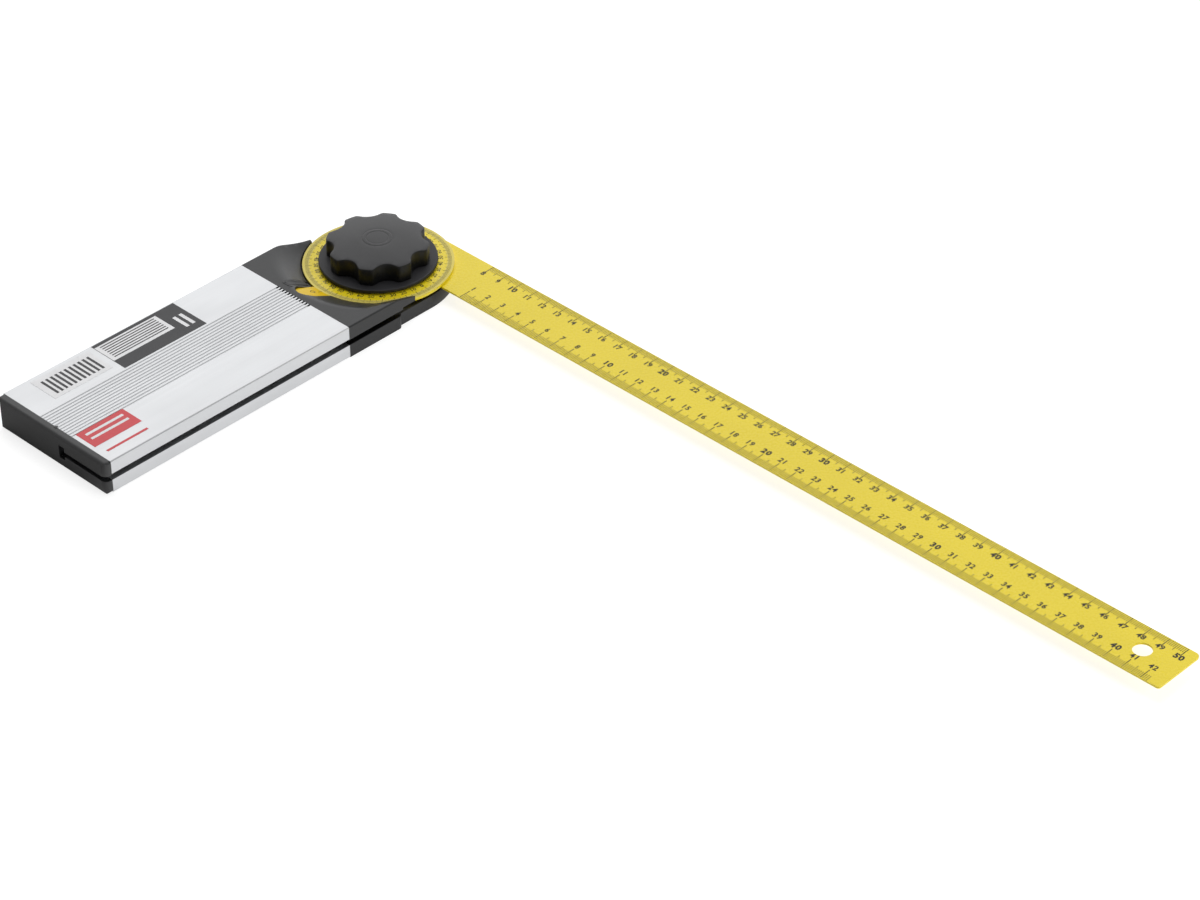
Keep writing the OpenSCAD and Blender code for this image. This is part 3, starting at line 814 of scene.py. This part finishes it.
def disc_points(top):
    """The middle and the rings of the disc, then the middle and the rim of its flat base."""
    rings, spokes = DISC_STEPS
    points = [(0, 0, disc_height(0, top) * MM)]
    for ring in range(1, rings + 1):
        r = DISC_RADIUS * ring / rings
        z = disc_height(r, top) * MM
        for spoke in range(spokes):
            turn = 2 * math.pi * spoke / spokes
            points.append((r * math.cos(turn) * MM, r * math.sin(turn) * MM, z))
    base_z = (top - DISC_DEPTH) * MM
    base_rim = [(x, y, base_z) for x, y, _ in points[-spokes:]]
    return [*points, (0, 0, base_z), *base_rim]


def disc_faces():
    """Faces of the disc, as a closed solid."""
    rings, spokes = DISC_STEPS
    base = 1 + rings * spokes
    outer = base - spokes
    faces = []
    for here in range(spokes):
        after = (here + 1) % spokes
        faces.append([0, 1 + here, 1 + after])
        faces.append([base, base + 1 + after, base + 1 + here])
        faces.append([outer + here, base + 1 + here, base + 1 + after, outer + after])
        for inner in range(1, outer, spokes):
            faces.append([inner + here, inner + spokes + here, inner + spokes + after, inner + after])
    return faces


def flush_disc(material):
    """Stands for the plain disc in the knob."""
    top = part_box("knob_disc")[1][2] / MM - DISC_RISE
    disc = Shape()
    disc.add(disc_points(top), disc_faces())
    made = disc.piece("disc_look", material, "hand_knob")
    made.data.shade_smooth()
    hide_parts("knob_disc")


# Plain blocks where the labels are, on the flat bands of the stock top, in millimetres. A box
# is left, right, far and near.
LABEL_SINK = 0.01
LABEL_RISE = 0.06
DARK_BLOCK = (-36.5, -12.0, -99.6, -150.0)
DARK_PANEL = (-34.3, -20.0, -112.5, -149.8)
PALE_BLOCK = (-34.5, -16.5, -153.5, -188.0)
RED_BLOCK = (11.8, 25.4, -171.7, -199.5)
RED_LINE = (30.8, 32.2, -173.5, -197.5)
# Stripes on the blocks: box, count, filled share of each, and whether they run along the stock
DARK_BARS = ((-27.0, -16.5, -102.5, -110.0), 2, 0.5, False)
DARK_ROWS = ((-33.2, -21.0, -114.5, -147.5), 7, 0.4, True)
PALE_BARS = ((-31.5, -19.0, -156.0, -186.0), 11, 0.5, False)
RED_ROWS = ((14.6, 22.6, -174.5, -196.5), 2, 0.4, True)


def block(marks, box):
    left, right, far, near = (value * MM for value in box)
    marks.slab([(left, near), (right, near), (right, far), (left, far)])


def stripes(marks, box, count, share, along_stock):
    """Even stripes that fill a box."""
    left, right, far, near = box
    for i in range(count):
        if along_stock:
            pitch = (right - left) / count
            block(marks, (left + i * pitch, left + (i + share) * pitch, far, near))
        else:
            pitch = (far - near) / count
            block(marks, (left, right, far - i * pitch, far - (i + share) * pitch))


def label(name, level, material, box=None, rows=None):
    """One layer of a label at a level over the stock's top: a block, stripes or both."""
    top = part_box("stock_profile")[1][2]
    low, high = level
    marks = Print(top + low, top + high)
    if box:
        block(marks, box)
    if rows:
        stripes(marks, *rows)
    marks.piece(name, material, "stock")


def labels():
    """The plain blocks and the stripes on them, each layer sunk a little into the one below."""
    grey = film("label_grey", (0.045, 0.045, 0.048), roughness=0.38)
    pale = film("label_pale", (0.76, 0.76, 0.77), roughness=0.4)
    red = film("label_red", (0.60, 0.075, 0.085), roughness=0.38)
    base = (-LABEL_SINK * MM, LABEL_RISE * MM)
    over = ((LABEL_RISE - LABEL_SINK) * MM, LABEL_RISE * MM + INK_RISE)
    over_panel = (over[0] + INK_RISE, over[1] + INK_RISE)
    label("label_dark", base, grey, DARK_BLOCK)
    label("label_light", base, pale, PALE_BLOCK)
    label("label_red", base, red, RED_BLOCK)
    label("label_red_line", base, red, RED_LINE)
    label("label_dark_panel", over, pale, DARK_PANEL, DARK_BARS)
    label("label_dark_rows", over_panel, grey, rows=DARK_ROWS)
    label("label_light_stripes", over, grey, rows=PALE_BARS)
    label("label_red_stripes", over, pale, rows=RED_ROWS)


# Studio

FLOOR_SIZE = 14.0
FLOOR_DROP = 0.1 * MM
FLOOR_COLOR = (0.35, 0.35, 0.35)
# Glow of the floor for what is seen, mirrored and bounced
FLOOR_SEEN = 0.82
FLOOR_MIRRORED = 0.62
FLOOR_BOUNCED = 1.0
# Part of the mirrored glow in front of the end cap, and the sum of x and y over which it
# grows to the whole
FLOOR_DIM = 0.15
FLOOR_DIM_SPAN = (-0.19, -0.155)
WORLD_LIGHT = 1.9
GLOSS_FILL = 0.45
# The side of the studio that gloss mirrors brightest, and how it fades away from it
BRIGHT_SIDE = (-0.75, 0.6, 0.2)
FADE_FROM = (0.3, 1.0)
FADE_TO = (0.02, 0.8)
# Place, size and power of each soft light, and the point they all face
LIGHTS = {
    "overhead": ((0.0, 0.25, 1.5), 1.1, 10.5),
    "back": ((-1.15, 1.25, 1.35), 2.0, 12.0),
    "right": ((1.6, 0.35, 0.6), 1.2, 13.0),
}
AIM = (0.12, -0.03, 0.0)


def floor_glow(tree, place):
    """Strength of the floor's glow for each kind of ray."""
    ray = tree.node("ShaderNodeLightPath").outputs
    away = tree.reach(place, (1, 1, 0))
    part = tree.between(away, FLOOR_DIM, 1.0, *FLOOR_DIM_SPAN)
    mirrored = tree.product(ray["Is Glossy Ray"], part)
    return tree.weighted_sum([(ray["Is Camera Ray"], FLOOR_SEEN), (mirrored, FLOOR_MIRRORED),
                              (ray["Is Diffuse Ray"], FLOOR_BOUNCED),
                              (ray["Is Transmission Ray"], FLOOR_SEEN)])


def floor_material():
    """Pale and matt with a glow, and clear from below, so that the underside shows."""
    material = bpy.data.materials.new("floor")
    material.use_nodes = True
    tree = Tree(material.node_tree)
    tree.nodes.clear()
    geometry = tree.node("ShaderNodeNewGeometry").outputs
    matt = tree.node("ShaderNodeBsdfDiffuse")
    matt.inputs["Color"].default_value = (*FLOOR_COLOR, 1)
    glow = tree.node("ShaderNodeEmission")
    tree.link(floor_glow(tree, geometry["Position"]), glow.inputs["Strength"])
    both = tree.node("ShaderNodeAddShader")
    tree.link(matt.outputs["BSDF"], both.inputs[0])
    tree.link(glow.outputs["Emission"], both.inputs[1])
    clear = tree.node("ShaderNodeBsdfTransparent")
    side = tree.node("ShaderNodeMixShader")
    tree.link(geometry["Backfacing"], side.inputs["Fac"])
    tree.link(both.outputs["Shader"], side.inputs[1])
    tree.link(clear.outputs["BSDF"], side.inputs[2])
    out = tree.node("ShaderNodeOutputMaterial")
    tree.link(side.outputs["Shader"], out.inputs["Surface"])
    return material


def floor():
    bpy.ops.mesh.primitive_plane_add(size=FLOOR_SIZE)
    plane = bpy.context.object
    plane.name = "floor"
    plane.location.z = -FLOOR_DROP
    plane.data.materials.append(floor_material())


def world():
    """Plain white to the camera, and a light that fades away from the bright side in the rest."""
    made = bpy.data.worlds.new("studio")
    made.use_nodes = True
    bpy.context.scene.world = made
    tree = Tree(made.node_tree)
    background = tree.nodes["Background"]
    background.inputs["Color"].default_value = (1, 1, 1, 1)
    ray = tree.node("ShaderNodeLightPath").outputs
    coords = tree.node("ShaderNodeTexCoord").outputs
    toward = tree.reach(coords["Generated"], Vector(BRIGHT_SIDE).normalized())
    fade = tree.between(toward, *FADE_TO, *FADE_FROM)
    lit = tree.weighted_sum([(ray["Is Glossy Ray"], 1.0), (ray["Is Diffuse Ray"], WORLD_LIGHT)])
    faded = tree.product(fade, lit)
    strength = tree.weighted_sum([(ray["Is Camera Ray"], 1.0), (ray["Is Transmission Ray"], 1.0),
                                  (ray["Is Glossy Ray"], GLOSS_FILL), (faded, 1.0)])
    tree.link(strength, background.inputs["Strength"])


def soft_lights():
    for name, (place, size, power) in LIGHTS.items():
        light = bpy.data.lights.new(name, "AREA")
        light.shape = "DISK"
        light.size = size
        light.energy = power
        lamp = bpy.data.objects.new(name, light)
        bpy.context.scene.collection.objects.link(lamp)
        lamp.location = place
        lamp.visible_glossy = False
        lamp.rotation_euler = (Vector(AIM) - lamp.location).to_track_quat("-Z", "Y").to_euler()


def camera():
    lens = bpy.data.cameras.new("view")
    lens.sensor_width = CAMERA_SENSOR
    lens.lens = CAMERA_LENS
    made = bpy.data.objects.new("view", lens)
    bpy.context.scene.collection.objects.link(made)
    turn = Vector(CAMERA_FORWARD).to_track_quat("-Z", "Y").to_matrix().to_4x4()
    roll = Matrix.Rotation(math.radians(CAMERA_ROLL), 4, "Z")
    made.matrix_world = Matrix.Translation(CAMERA_PLACE) @ turn @ roll
    bpy.context.scene.camera = made


finish_nodes()
soften_edges()
scale_ink = ink("scale_ink", (0.018, 0.014, 0.008), roughness=0.5)
blade_print(scale_ink)
dial_print(scale_ink)
pointer_print(scale_ink)
groove_ends()
groove_beds(FINISHES["stock_profile"].material)
channel_fold(FINISHES["head_upper"].material)
flush_disc(FINISHES["knob"].material)
labels()
floor()
world()
soft_lights()
camera()
bpy.context.scene.view_settings.view_transform = "Standard"
